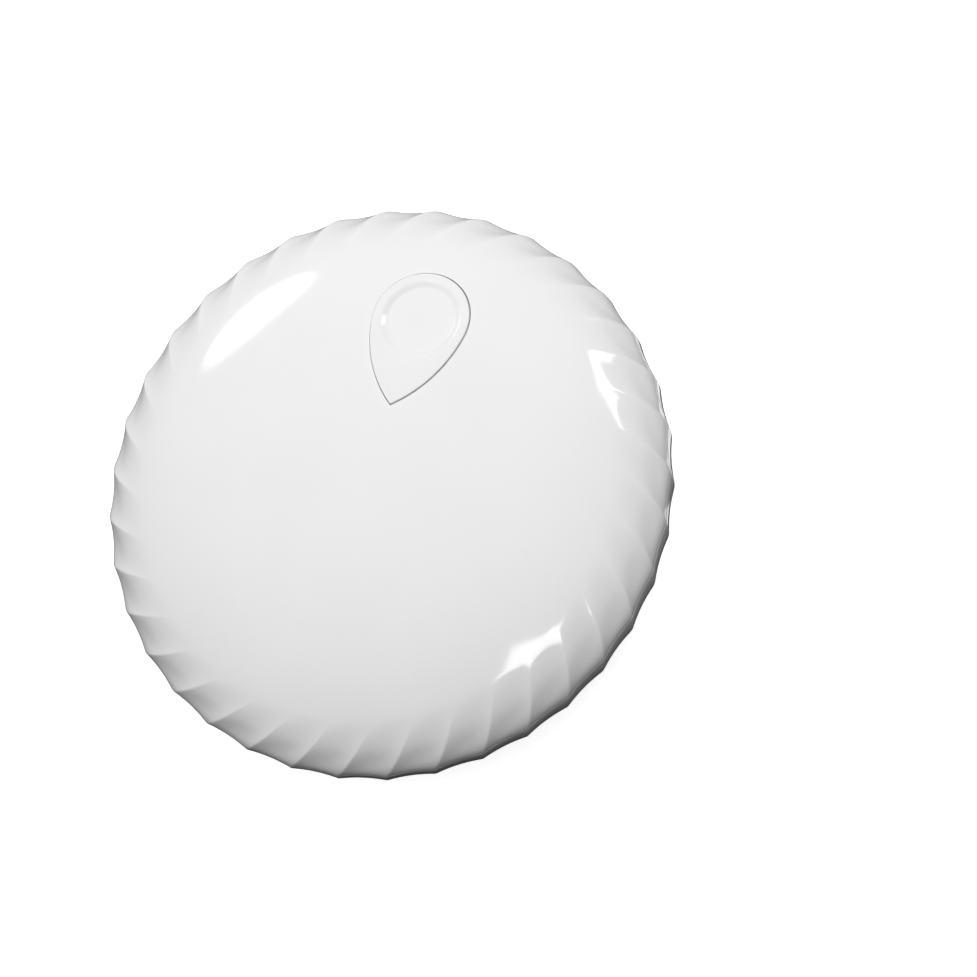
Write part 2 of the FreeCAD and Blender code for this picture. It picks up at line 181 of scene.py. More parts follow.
def lathe(outline, columns=180, x=0.0, y=0.0):
    # (radius, height) rows turned about an upright axis through (x, y)
    angle = np.arange(columns) * turn / columns
    grid = np.empty((len(outline), columns, 3))
    grid[..., 0] = x + outline[:, :1] * np.cos(angle)
    grid[..., 1] = y + outline[:, :1] * np.sin(angle)
    grid[..., 2] = outline[:, 1:]
    return grid


# ---- the fluted case


def domeHeight(radius):
    # superellipse: height over the seam = dome * sqrt(1 - (r / rim)^power)
    return case["seam"] + case["dome"] * np.sqrt(np.clip(1 - (radius / case["rim"]) ** case["power"], 0, 1))


def frontProfile(angle):
    radius = case["rim"] * np.cos(angle) ** (2 / case["power"])
    return radius, case["seam"] + case["dome"] * np.sin(angle)


def backProfile(angle):
    reach = case["rim"] - case["restRing"]
    radius = case["restRing"] + reach * np.clip(np.cos(angle), 0, 1) ** (2 / case["power"])
    return radius, case["seam"] * (1 - np.sin(angle) ** (2 / case["power"]))


def fluteColumns():
    # places across one flute, closer together at the ridge so that it stays crisp
    half = 0.5 - np.array([0.0, 0.022, 0.052, 0.095, 0.155, 0.235, 0.32, 0.41])
    across = np.concatenate([-half, half[1:][::-1]])
    across = np.sort(np.unique(np.round(across, 6)))
    starts = np.arange(case["flutes"])[:, None]
    return np.tile(across, case["flutes"]), np.repeat(starts, len(across), 1).ravel()


def flutedBand(profile, angles, side, fade):
    # A scoop of depth d(r) * 4e(1 - e) is taken off along the profile's normal, where e runs from a
    # ridge to the middle of the flute, and the whole row is turned by the distance run from the seam.
    radius, height = profile(angles)
    step = 1e-5
    near, far = profile(np.maximum(angles - step, 0)), profile(np.minimum(angles + step, angles.max()))
    dr, dz = far[0] - near[0], far[1] - near[1]
    size = np.hypot(dr, dz)
    normalR, normalZ = side * dz / size, -side * dr / size
    first = angles == 0
    normalR[first], normalZ[first] = 1.0, 0.0
    fine = np.linspace(0, angles.max(), 2000)
    fineR, fineZ = profile(fine)
    length = np.concatenate([[0], np.cumsum(np.hypot(np.diff(fineR), np.diff(fineZ)))])
    run = np.interp(angles, fine, length)
    depth = case["fluteDepth"] * smoothStep((radius - fade) / (case["fullFlute"] - fade))
    if side > 0:
        depth *= 1 + case["swell"] * np.sin(math.pi * np.minimum(run / case["swellRun"], 1)) ** 2
    slant = case["frontSlant"] if side > 0 else case["backSlant"]
    swirl = side * slant * np.minimum(run, case["slantRun"]) / case["rim"]
    across, start = fluteColumns()
    edge = 0.5 - np.abs(across)
    edge = np.sqrt(edge ** 2 + case["ridgeRound"] ** 2) - case["ridgeRound"]
    scoop = depth[:, None] * 4 * edge * (1 - edge)
    azimuth = case["flutePhase"] + (start + across + 0.5) * turn / case["flutes"] + swirl[:, None]
    r = radius[:, None] - scoop * normalR[:, None]
    grid = np.empty(r.shape + (3,))
    grid[..., 0] = r * np.cos(azimuth)
    grid[..., 1] = r * np.sin(azimuth)
    grid[..., 2] = height[:, None] - scoop * normalZ[:, None]
    return grid, azimuth


pin = {
    "headY": 10.28,
    "headRadius": 3.08,
    "length": 5.7,
    "tangent": math.radians(8),
    "raise": 0.1,
    "gap": 0.05,
    "edge": 0.06,
    "tipRound": 0.12,
    "dishRadius": 2.62,
    "dishFloor": 2.1,
    "dishDepth": 0.22,
    "flange": 0.5,
    "flangeLow": 5.9,
    "flangeTop": 6.3,
}


def pinOutline(angle, offset, fromY=0.0):
    # Distance from the point (0, fromY), measured from the head's centre, to the button's outline:
    # a head circle, and below its two tangent points the arcs of two larger circles that meet in a tip.
    a, length, lean = pin["headRadius"], pin["length"], pin["tangent"]
    side = (a * a + length * length - 2 * a * length * math.sin(lean)) / (2 * (a - length * math.sin(lean)))
    cx, cy = (side - a) * math.cos(lean), (side - a) * math.sin(lean)
    dx, dy = np.abs(np.cos(angle)), np.sin(angle)

    def reach(centreX, centreY, radius):
        px, py = -centreX, fromY - centreY
        along = px * dx + py * dy
        return -along + np.sqrt(np.maximum(along ** 2 - (px * px + py * py - radius ** 2), 0))

    head = reach(0.0, 0.0, a + offset)
    flank = reach(-cx, cy, side + offset)
    hitAngle = np.arctan2(fromY + head * dy, head * dx)
    return np.where(hitAngle >= -lean, head, flank)


def frontShell():
    shellCavity, cavityHeight = 16.0, 3.3
    lipOuter, lipDepth = 16.7, 1.0
    collar, collarLow = 1.05, 6.35
    angleAtFade = math.acos((case["frontFade"] / case["rim"]) ** (case["power"] / 2))
    angles = angleAtFade * (1 - np.linspace(1, 0, 50) ** 1.0)
    band, azimuth = flutedBand(frontProfile, angles, 1, case["frontFade"])
    columns = band.shape[1]
    rayFromY = pin["headY"] - 1.0
    fade = band[-1]
    direction = np.arctan2(fade[:, 1] - rayFromY, fade[:, 0])
    farReach = np.hypot(fade[:, 0], fade[:, 1] - rayFromY)

    def rayRow(reach, height=None):
        row = np.empty((columns, 3))
        row[:, 0] = reach * np.cos(direction)
        row[:, 1] = rayFromY + reach * np.sin(direction)
        row[:, 2] = domeHeight(np.hypot(row[:, 0], row[:, 1])) if height is None else height
        return row

    def pinReach(offset):
        return pinOutline(direction, offset, rayFromY - pin["headY"])

    # from the fade circle to the window, along rays from a point inside it
    edge = pin["edge"]
    inner = pinReach(pin["gap"] + edge)
    spread = 1 - np.linspace(0, 1, 30)[1:] ** 0.8
    domeRows = [rayRow(inner + (farReach - inner) * s) for s in spread]
    windowRows = []
    for a in np.linspace(0, math.pi / 2, 6)[1:]:
        row = rayRow(pinReach(pin["gap"] + edge * (1 - math.sin(a))))
        row[:, 2] -= edge * (1 - math.cos(a))
        windowRows.append(row)
    windowRows.append(rayRow(pinReach(pin["gap"]), windowRows[-1][:, 2] - 0.1))
    windowRows.append(rayRow(pinReach(pin["gap"]), collarLow + 0.04))
    windowRows.append(rayRow(pinReach(pin["gap"] + 0.04), collarLow))
    windowRows.append(rayRow(pinReach(collar - 0.04), collarLow))

    def cavityTop(radius):
        return case["seam"] + cavityHeight * np.sqrt(np.clip(1 - (radius / shellCavity) ** case["power"], 0, 1))

    collarRow = rayRow(pinReach(collar))
    collarRow[:, 2] = cavityTop(np.hypot(collarRow[:, 0], collarRow[:, 1]))
    insideRows = [rayRow(pinReach(collar), collarLow), collarRow]
    innerFade = 14.9
    lipAzimuth = azimuth[0]
    for s in np.linspace(0, 1, 14)[1:]:
        ring = np.stack([innerFade * np.cos(azimuth[-1]), innerFade * np.sin(azimuth[-1])], -1)
        xy = collarRow[:, :2] * (1 - s) + ring * s
        insideRows.append(np.column_stack([xy, cavityTop(np.hypot(xy[:, 0], xy[:, 1]))]))
    cavityAngle = math.acos((innerFade / shellCavity) ** (case["power"] / 2))
    for s in np.linspace(0, 1, 9)[1:]:
        angle = cavityAngle * (1 - s)
        radius = shellCavity * math.cos(angle) ** (2 / case["power"])
        turned = azimuth[-1] * (1 - s) + lipAzimuth * s
        height = np.full(columns, case["seam"] + cavityHeight * math.sin(angle))
        insideRows.append(np.column_stack([radius * np.cos(turned), radius * np.sin(turned), height]))
    low = case["seam"] - lipDepth
    for radius, height in ((shellCavity, low + 0.1), (shellCavity + 0.1, low), (lipOuter - 0.1, low),
                           (lipOuter, low + 0.1), (lipOuter, case["seam"] - 0.02), (lipOuter + 0.02, case["seam"]),
                           (case["rim"] - case["fluteDepth"] - 0.25, case["seam"])):
        insideRows.append(np.column_stack([radius * np.cos(lipAzimuth), radius * np.sin(lipAzimuth),
                                           np.full(columns, height)]))
    band = seamEdge(band, 1)
    grid = np.concatenate([band, domeRows, windowRows, insideRows])
    surfaces = [gridSurface(grid, loopRows=True)]
    for x, y in screwPlaces():
        post = roundedOutline([(0.53, 5.36, 0.05), (1.4, 5.36, 0.1), (1.4, 6.7, 0), (0.53, 6.7, 0)])
        surfaces.append(gridSurface(lathe(post, 40, x, y), loopRows=True))
    seat = roundedOutline([(5.3, 6.95, 0.05), (6.25, 6.95, 0.05), (6.25, 7.6, 0), (5.3, 7.6, 0)])
    surfaces.append(gridSurface(lathe(seat, 120, 0, -3.0), loopRows=True))
    return surfaces


def seamEdge(band, side):
    # the two shells meet in a fine groove: the first rows of each are drawn in round a small radius
    edge = 0.06
    rows = []
    for a in np.linspace(0, math.pi / 2, 5)[:-1]:
        row = band[0].copy()
        radius = np.hypot(row[:, 0], row[:, 1])
        shrink = (radius - edge * (1 - math.sin(a))) / radius
        row[:, :2] *= shrink[:, None]
        row[:, 2] += side * edge * (1 - math.cos(a))
        rows.append(row)
    keep = np.abs(band[:, :, 2] - case["seam"]).max(1) > edge * 1.2
    return np.concatenate([rows, band[keep]])


def screwPlaces():
    return [(13.0 * math.cos(math.radians(a)), 13.0 * math.sin(math.radians(a))) for a in (30, 150, 270)]


def pinButton():
    # Rows run out from the middle of the dish to the outline, over its rounded edge, down to the flange
    # and back under to the middle. The top lies a little proud of the dome.
    columns = 720
    angle = np.arange(columns) * turn / columns - math.pi / 2
    dish = pin["dishRadius"]
    ringRadii = np.concatenate([np.linspace(0.05, pin["dishFloor"] - 0.1, 10),
                                np.linspace(pin["dishFloor"] - 0.05, dish + 0.1, 18)])
    rim = pinOutline(angle, -pin["edge"])
    radii = [np.full(columns, r) for r in ringRadii]
    for s in np.linspace(0, 1, 16)[1:]:
        radii.append(ringRadii[-1] * (1 - s) + rim * s)
    slopeReach = pin["headY"] / case["rim"]
    slope = case["dome"] * case["power"] * slopeReach ** (case["power"] - 1) / (
        2 * case["rim"] * math.sqrt(1 - slopeReach ** case["power"]))
    middle = float(domeHeight(np.array(pin["headY"])))
    rows = []
    for radius in radii:
        x, y = radius * np.cos(angle), pin["headY"] + radius * np.sin(angle)
        skin = domeHeight(np.hypot(x, y)) + pin["raise"]
        floor = middle + pin["raise"] - slope * (y - pin["headY"]) - pin["dishDepth"]
        blend = smoothStep((radius - pin["dishFloor"]) / (dish - pin["dishFloor"]))
        rows.append(np.column_stack([x, y, floor * (1 - blend) + skin * blend]))
    edge = pin["edge"]
    for a in np.linspace(0, math.pi / 2, 7)[1:]:
        radius = pinOutline(angle, -edge * (1 - math.sin(a)))
        x, y = radius * np.cos(angle), pin["headY"] + radius * np.sin(angle)
        skin = domeHeight(np.hypot(x, y)) + pin["raise"]
        rows.append(np.column_stack([x, y, skin - edge * (1 - math.cos(a))]))
    last = rows[-1]
    for drop in (0.08, 0.4):
        rows.append(np.column_stack([last[:, :2], last[:, 2] - drop]))
    for offset, height in ((0.0, pin["flangeTop"]), (pin["flange"] - 0.05, pin["flangeTop"]),
                           (pin["flange"], pin["flangeTop"] - 0.05), (pin["flange"], pin["flangeLow"] + 0.05),
                           (pin["flange"] - 0.05, pin["flangeLow"])):
        radius = pinOutline(angle, offset)
        rows.append(np.column_stack([radius * np.cos(angle), pin["headY"] + radius * np.sin(angle),
                                     np.full(columns, height)]))
    radius = pinOutline(angle, 0) * 0.1
    rows.append(np.column_stack([radius * np.cos(angle), pin["headY"] + radius * np.sin(angle),
                                 np.full(columns, pin["flangeLow"])]))
    return [gridSurface(np.array(rows), poleFirst=True, poleLast=True)]


door = {
    "radius": 12.0,
    "pocket": 12.1,
    "recess": 0.1,
    "plateTop": 0.9,
    "skirtInner": 10.3,
    "skirtOuter": 11.15,
    "skirtTop": 3.05,
    "bore": 11.3,
    "lugReach": 0.6,
    "lugHeight": 0.5,
    "lugLow": 1.35,
    "lugHalfSpan": 9.0,
    "lugClearance": 0.08,
    "lead": 9.0,
    "ringRadius": 11.03,
    "ringSection": 0.25,
    "ringHeight": 2.6,
    "slotLength": 11.0,
    "slotWidth": 1.7,
    "slotDepth": 0.4,
    "dot": 0.35,
    "dotDepth": 0.12,
}


def dimple(grid, x, y, depth):
    # a ball-end dimple: the surface rises by depth * (1 - (d / radius)^2) inside the dot
    away = np.hypot(grid[..., 0] - x, grid[..., 1] - y) / door["dot"]
    flat = grid[..., 2] < door["plateTop"] / 2
    grid[..., 2] += np.where(flat, depth * np.clip(1 - away ** 2, 0, 1) ** 0.7, 0)


def backShell():
    angles = np.linspace(0, math.pi / 2, 46)
    band, azimuth = flutedBand(backProfile, angles, -1, case["backFade"])
    band = seamEdge(band, -1)[::-1]
    lastRow = band[0]
    columns = band.shape[1]
    seam = case["seam"]
    outline = roundedOutline([(17.5, seam, 0), (16.78, seam, 0.05), (16.78, 2.7, 0.03), (15.6, 2.7, 0.05),
                              (14.5, 1.1, 0.1), (12.9, 1.1, 0.1), (12.9, 3.1, 0.08), (11.3, 3.1, 0)],
                             closed=False, arcSteps=3, spacing=2.5)
    bore = np.column_stack([np.full(34, door["bore"]), np.linspace(3.08, door["plateTop"] + 0.03, 34)])
    pocket = roundedOutline([(door["bore"] + 0.03, 0.9, 0), (door["pocket"], 0.9, 0.03),
                             (door["pocket"], 0.0, 0.09), (case["restRing"] - 0.02, 0.0, 0)],
                            closed=False, arcSteps=5, spacing=0.12)
    rows = np.vstack([outline, bore, pocket])
    inner = np.empty((len(rows), columns, 3))
    around = np.arctan2(lastRow[:, 1], lastRow[:, 0])
    seamAround = azimuth[0]
    seamAround = around + (seamAround - around + math.pi) % turn - math.pi
    share = np.linspace(1, 0, len(rows))[:, None]
    turned = around * (1 - share) + seamAround * share
    radius = np.repeat(rows[:, :1], columns, 1)
    height = np.repeat(rows[:, 1:], columns, 1)
    # three helical grooves in the bore: a groove's middle climbs by the lead over a full turn
    for k in range(3):
        degrees = (np.degrees(turned) - 120 * k + 180) % 360 - 180
        low = door["lugLow"] - door["lugClearance"] + door["lead"] * degrees / 360
        into = np.minimum(height - low, low + door["lugHeight"] + 2 * door["lugClearance"] - height)
        along = np.minimum(degrees + 44, 10 - degrees) * 0.2
        mask = smoothStep(np.minimum(into, along) / 0.05 + 0.5)
        wall = (height < 3.0) & (height > door["plateTop"] + 0.01) & (radius < door["bore"] + 0.01)
        radius = np.where(wall, radius + mask * (door["lugReach"] - 0.03), radius)
    inner[..., 0] = radius * np.cos(turned)
    inner[..., 1] = radius * np.sin(turned)
    inner[..., 2] = height
    markRadius = (door["radius"] + case["restRing"]) / 2 + 0.05
    for degrees in (-90.0, -137.0):
        x, y = markRadius * math.cos(math.radians(degrees)), markRadius * math.sin(math.radians(degrees))
        dimple(inner, x, y, door["dotDepth"])
    grid = np.concatenate([inner, band])
    return [gridSurface(grid, loopRows=True)]


def stadium(angle, grow=0.0):
    # distance from the middle of a slot with round ends to its edge
    half, radius = (door["slotLength"] - door["slotWidth"]) / 2, door["slotWidth"] / 2 + grow
    dx, dy = np.abs(np.cos(angle)), np.abs(np.sin(angle))
    side = radius / np.maximum(dy, 1e-9)
    end = half * dx + np.sqrt(np.maximum(radius ** 2 - (half * dy) ** 2, 0))
    return np.where(side * dx <= half, side, end)


def batteryDoor():
    # Rows run out from the middle of the coin slot's floor, over its edge, across the plate, round the
    # plate's edge, up the skirt with its ring groove, and back to the middle of the inside face.
    columns = 720
    even = np.arange(columns) * turn / columns
    angle = even - 0.42 * np.sin(2 * even)
    low, floor = door["recess"], door["recess"] + door["slotDepth"]
    rows = []

    def slotRow(grow, height):
        reach = stadium(angle, grow)
        rows.append(np.column_stack([reach * np.cos(angle), reach * np.sin(angle), np.full(columns, height)]))

    for s in (0.04, 0.35, 0.7):
        reach = stadium(angle, -0.12) * s
        rows.append(np.column_stack([reach * np.cos(angle), reach * np.sin(angle), np.full(columns, floor)]))
    slotRow(-0.14, floor)
    for a in np.linspace(0, math.pi / 2, 5):
        slotRow(-0.1 + 0.1 * math.sin(a), floor - 0.1 * (1 - math.cos(a)))
    for a in np.linspace(0, math.pi / 2, 6):
        slotRow(0.08 * (1 - math.cos(a)), low + 0.08 * (1 - math.sin(a)))
    slotRow(0.12, low)
    start = stadium(angle, 0.12)
    plateEdge = 0.09
    stop = door["radius"] - plateEdge
    spread = np.concatenate([np.linspace(0, 0.8, 14)[1:], np.linspace(0.8, 1, 18)[1:]])
    for s in spread:
        reach = start * (1 - s) + stop * s
        turned = angle * (1 - s) + even * s
        rows.append(np.column_stack([reach * np.cos(turned), reach * np.sin(turned), np.full(columns, low)]))
    outline = roundedOutline([(stop, low, 0), (door["radius"], low, plateEdge), (door["radius"], 0.9, 0.05),
                              (door["skirtOuter"], 0.9, 0.05), (door["skirtOuter"], 2.32, 0.03),
                              (10.76, 2.32, 0.03), (10.76, 2.88, 0.03), (door["skirtOuter"], 2.88, 0.03),
                              (door["skirtOuter"], door["skirtTop"], 0.08), (door["skirtInner"], door["skirtTop"], 0.08),
                              (door["skirtInner"], 0.9, 0.15), (0.3, 0.9, 0)], closed=False, spacing=2.0)
    skirt = lathe(outline[1:], columns)
    grid = np.concatenate([np.array(rows), skirt])
    dimple(grid, 0.0, 1.0 - door["radius"], door["dotDepth"])
    surfaces = [gridSurface(grid, poleFirst=True, poleLast=True)]
    for k in range(3):
        surfaces.append(helicalLug(120 * k))
    return surfaces


def helicalLug(middle):
    # a rounded block's section carried along a right-handed helix, with both ends closed
    section = roundedOutline([(11.0, 0.0, 0.02), (11.75, 0.0, 0.06), (11.75, 0.5, 0.06), (11.0, 0.5, 0.02)],
                             arcSteps=3)
    centre = section.mean(0)
    span = np.linspace(-door["lugHalfSpan"], door["lugHalfSpan"], 25)
    grow = np.ones(len(span))
    span = np.concatenate([[span[0]], span, [span[-1]]])
    grow = np.concatenate([[0.9], grow, [0.9]])
    span[1] += 0.15
    span[-2] -= 0.15
    grid = np.empty((len(span), len(section), 3))
    shape = centre + (section[None] - centre) * grow[:, None, None]
    angle = np.radians(middle + span)[:, None]
    grid[..., 0] = shape[..., 0] * np.cos(angle)
    grid[..., 1] = shape[..., 0] * np.sin(angle)
    grid[..., 2] = shape[..., 1] + door["lugLow"] + door["lead"] * span[:, None] / 360
    return gridSurface(grid, poleFirst=True, poleLast=True)


def torusRing(radius, section, height, columns=240, steps=20):
    around = np.arange(steps) * turn / steps
    outline = np.column_stack([radius + section * np.cos(around), height + section * np.sin(around)])
    return [gridSurface(lathe(outline, columns), loopRows=True)]


# ---- shader maths


class Wire:
    # one output socket, so that shader maths is written as plain sums
    def __init__(self, tree, socket=None):
        self.tree = tree
        self.socket = socket

    def node(self, kind, settings=None, inputs=None, output=0):
        made = self.tree.nodes.new(kind)
        for key, value in (settings or {}).items():
            if key == "stops":
                while len(made.color_ramp.elements) < len(value):
                    made.color_ramp.elements.new(0.5)
                for element, (place, colour) in zip(made.color_ramp.elements, value):
                    element.position = place
                    element.color = colour
            else:
                setattr(made, key, value)
        for key, value in (inputs or {}).items():
            if isinstance(value, Wire):
                self.tree.links.new(value.socket, made.inputs[key])
            else:
                made.inputs[key].default_value = value
        return Wire(self.tree, made.outputs[output] if len(made.outputs) else None)

    def maths(self, operation, *values):
        return self.node("ShaderNodeMath", {"operation": operation}, dict(enumerate(values)))

    def __add__(self, other):
        return self.maths("ADD", self, other)

    def __radd__(self, other):
        return self.maths("ADD", other, self)

    def __sub__(self, other):
        return self.maths("SUBTRACT", self, other)

    def __rsub__(self, other):
        return self.maths("SUBTRACT", other, self)

    def __mul__(self, other):
        return self.maths("MULTIPLY", self, other)

    def __rmul__(self, other):
        return self.maths("MULTIPLY", other, self)

    def __truediv__(self, other):
        return self.maths("DIVIDE", self, other)

    def __pow__(self, other):
        return self.maths("POWER", self, other)

    def noise(self, place, size, detail=2.0, rough=0.5):
        # size is the pattern's own size in millimetres
        inputs = {"Vector": place, "Scale": 1 / (size * mm), "Detail": detail, "Roughness": rough}
        return self.node("ShaderNodeTexNoise", None, inputs)

    def between(self, low, high):
        # 0 below low, 1 above high, smooth between
        inputs = {"Value": self, "From Min": low, "From Max": high}
        return self.node("ShaderNodeMapRange", {"interpolation_type": "SMOOTHSTEP"}, inputs)

    def blend(self, first, second):
        # a mix of two colours by this value
        return self.node("ShaderNodeMix", {"data_type": "RGBA"}, {0: self, 6: first, 7: second}, 2)


def colour(rgb):
    return (rgb[0], rgb[1], rgb[2], 1.0)


def newMaterial(name):
    material = bpy.data.materials.new(name)
    material.use_nodes = True
    material.node_tree.nodes.clear()
    return material, Wire(material.node_tree)


def closeMaterial(material, start, varying, fixed, height=None, bumpDistance=0.0):
    # varying values feed the shader's sockets, fixed ones are set straight on them
    inputs = dict(varying)
    inputs.update(fixed)
    if height is not None:
        inputs["Normal"] = start.node("ShaderNodeBump", None,
                                      {"Strength": 1.0, "Distance": bumpDistance * mm, "Height": height})
    shader = start.node("ShaderNodeBsdfPrincipled", None, inputs)
    start.node("ShaderNodeOutputMaterial", None, {"Surface": shader})
    return material


def mouldedPlastic(name, look):
    # Moulded plastic: fine spark grain, faint broad ripple from shrinkage, and small changes in gloss.
    material, start = newMaterial(name)
    place = start.node("ShaderNodeTexCoord", output=3)
    grain = start.noise(place, look["grain"], 3.0, 0.6)
    flow = start.noise(place, look["flow"], 2.0, 0.5)
    specks = start.noise(place, look["grain"] * 4, 1.0, 0.4).between(0.62, 0.74)
    shade = (flow * 0.7 + grain * 0.3).between(0.35, 0.65)
    base = shade.blend(colour(look["colour"]), colour([c * look["shade"] for c in look["colour"]]))
    rough = look["rough"] + (flow - 0.5) * look["roughFlow"] + (grain - 0.5) * look["roughGrain"]
    height = grain * 1.0 + specks * 0.4 + flow * look["ripple"]
    return closeMaterial(material, start, {"Base Color": base, "Roughness": rough},
                         {"IOR": look["ior"], "Subsurface Weight": look["subsurface"],
                          "Subsurface Radius": (1.0, 0.9, 0.8), "Subsurface Scale": 0.4 * mm},
                         height, look["bump"])


whiteLook = {
    "colour": (0.90, 0.90, 0.90),
    "shade": 0.985,
    "grain": 0.09,
    "flow": 6.0,
    "rough": 0.085,
    "roughFlow": 0.015,
    "roughGrain": 0.02,
    "ripple": 0.2,
    "bump": 0.0006,
    "ior": 1.5,
    "subsurface": 0.0,
}


def varied(look, **changes):
    out = dict(look)
    out.update(changes)
    return out


white = mouldedPlastic("whiteShellPlastic", whiteLook)
whiteButton = mouldedPlastic("whiteButtonPlastic", varied(whiteLook, rough=0.1))
whiteBack = mouldedPlastic("whiteBackPlastic", whiteLook)
whiteDoor = mouldedPlastic("whiteDoorPlastic", varied(whiteLook, grain=0.14, bump=0.004, rough=0.42))
blackRubber = mouldedPlastic("blackRubber", varied(whiteLook, colour=(0.02, 0.02, 0.02), rough=0.6, grain=0.05))
print("materials made")


def splitPlace(place):
    # x, y and z in millimetres, one value each
    return [place.node("ShaderNodeSeparateXYZ", None, {"Vector": place}, k) * (1 / mm) for k in range(3)]


def farFrom(x, y, centre):
    # flat distance from a centre, in millimetres
    return ((x - centre[0]) ** 2 + (y - centre[1]) ** 2) ** 0.5


def turnedBy(x, y, centre, angle):
    # flat coordinates about a centre, along and across a direction
    dx, dy = x - centre[0], y - centre[1]
    c, s = math.cos(angle), math.sin(angle)
    return dx * c + dy * s, dy * c - dx * s


def within(value, half, soft=0.02):
    # 1 where the value lies closer to zero than half
    return 1 - value.maths("ABSOLUTE", value).between(half - soft, half + soft)


def metalSurface(name, look):
    # Bare or plated metal: tool or roll marks, mottled plating and a few duller stains. The marks are
    # rings about a centre, or long grain along x or y.
    material, start = newMaterial(name)
    place = start.node("ShaderNodeTexCoord", output=3)
    x, y, z = splitPlace(place)
    grain = start.noise(place, look["grain"], 3.0, 0.6)
    mottle = start.noise(place, look["mottle"], 3.0, 0.55)
    if look["marks"] == "rings":
        reach = farFrom(x, y, look["centre"])
        marks = start.node("ShaderNodeTexNoise", {"noise_dimensions": "1D"},
                           {"W": reach, "Scale": 1 / look["spacing"], "Detail": 2.0})
    else:
        stretch = (1 / 30, 1, 1) if look["marks"] == "alongX" else (1, 1 / 30, 1)
        long = start.node("ShaderNodeMapping", None, {"Vector": place, "Scale": stretch})
        marks = start.noise(long, look["spacing"], 3.0, 0.6)
    stain = mottle.between(0.52, 0.72)
    bright, dull = look["colour"], [c * look["dull"] for c in look["colour"]]
    base = (stain * 0.7 + marks * 0.3).blend(colour(bright), colour(dull))
    rough = look["rough"] + (marks - 0.5) * look["roughMarks"] + stain * look["roughStain"] + (grain - 0.5) * 0.06
    return closeMaterial(material, start, {"Base Color": base, "Roughness": rough}, {"Metallic": 1.0},
                         marks * 0.8 + grain * 0.3, look["bump"])


metalLook = {
    "colour": (0.62, 0.61, 0.58),
    "dull": 0.82,
    "rough": 0.3,
    "roughMarks": 0.16,
    "roughStain": 0.08,
    "grain": 0.05,
    "mottle": 1.6,
    "marks": "alongX",
    "centre": (0.0, 0.0),
    "spacing": 0.05,
    "bump": 0.002,
}
gold, tin = (0.83, 0.61, 0.27), (0.68, 0.68, 0.67)
metals = {
    "springSteel": varied(metalLook, marks="rings", centre=(0.0, pin["headY"]), rough=0.24),
    "zincSteel": varied(metalLook, colour=(0.66, 0.67, 0.70), mottle=0.5, rough=0.36),
    "tinnedSteel": varied(metalLook, colour=tin, spacing=0.08, rough=0.38, mottle=2.2),
    "goldPlate": varied(metalLook, colour=gold, marks="alongY", rough=0.26, dull=0.9),
    "brassPlate": varied(metalLook, colour=(0.72, 0.53, 0.25), marks="rings", centre=(0.0, -3.0), spacing=0.12,
                         mottle=2.5),
    "silverCoat": varied(metalLook, colour=(0.78, 0.77, 0.74), rough=0.5, roughMarks=0.05, grain=0.03, mottle=1.0,
                         bump=0.004),
}
metals = {name: metalSurface(name, look) for name, look in metals.items()}


def mattePolymer(name, look):
    # Filled or foamed polymer: round cells over a fine grain.
    material, start = newMaterial(name)
    place = start.node("ShaderNodeTexCoord", output=3)
    grain = start.noise(place, look["grain"], 3.0, 0.6)
    broad = start.noise(place, look["broad"], 2.0, 0.5)
    cells = start.node("ShaderNodeTexVoronoi", {"feature": "SMOOTH_F1"},
                       {"Vector": place, "Scale": 1 / (look["cell"] * mm), "Smoothness": 0.3})
    pit = 1 - cells.between(0.15, 0.55)
    # painted shade: the base colour is darkened inside each cell's pit, as if the hollow lay in shadow; broad and
    # grain add random tone on top
    shade = pit * look["pitPaintedShade"] + (broad - 0.5) * 0.3 + (grain - 0.5) * 0.3
    base = shade.between(0.0, 1.0).blend(colour(look["colour"]), colour(look["deep"]))
    rough = look["rough"] + (grain - 0.5) * 0.12 + pit * look["pitRough"]
    return closeMaterial(material, start, {"Base Color": base, "Roughness": rough}, {"IOR": look["ior"]},
                         grain * 0.5 - pit * look["pitDepth"], look["bump"])


polymerLook = {
    "colour": (0.3, 0.3, 0.3),
    "deep": (0.2, 0.2, 0.2),
    "grain": 0.06,
    "broad": 3.0,
    "cell": 0.3,
    # how far painted shade darkens the cells' pits
    "pitPaintedShade": 0.8,
    "pitRough": 0.08,
    "pitDepth": 1.0,
    "rough": 0.6,
    "ior": 1.5,
    "bump": 0.02,
}
polymers = {
    "clearSilicone": varied(polymerLook, colour=(0.80, 0.81, 0.80), deep=(0.72, 0.73, 0.72), cell=1.2, pitDepth=0.1,
                            rough=0.34, ior=1.41, bump=0.004),
    "greyFoam": varied(polymerLook, colour=(0.22, 0.22, 0.23), deep=(0.06, 0.06, 0.065), cell=0.22, rough=0.85,
                       bump=0.05),
    "framePlastic": varied(polymerLook, colour=(0.075, 0.078, 0.082), deep=(0.035, 0.036, 0.04), cell=0.12,
                           rough=0.5, bump=0.006),
    "adhesiveTape": varied(polymerLook, colour=(0.05, 0.05, 0.052), deep=(0.02, 0.02, 0.022), cell=0.18, rough=0.7,
                           bump=0.012),
    "cellGasket": varied(polymerLook, colour=(0.46, 0.52, 0.50), deep=(0.36, 0.42, 0.41), cell=0.8, pitDepth=0.1,
                         rough=0.4, bump=0.003),
    "cellFilling": varied(polymerLook, colour=(0.09, 0.085, 0.08), deep=(0.02, 0.02, 0.02), cell=0.1, rough=0.9,
                          bump=0.03),
}
polymers = {name: mattePolymer(name, look) for name, look in polymers.items()}


boardLook = {
    "mask": (0.012, 0.075, 0.040),
    "track": (0.022, 0.135, 0.070),
    "laminate": (0.50, 0.46, 0.26),
    "silk": (0.80, 0.80, 0.76),
    "radius": 14.6,
    "screwRing": (0.62, 1.25),
    "trackWide": 0.055,
    "viaRadius": 0.11,
    "viaSpread": 1.5,
}


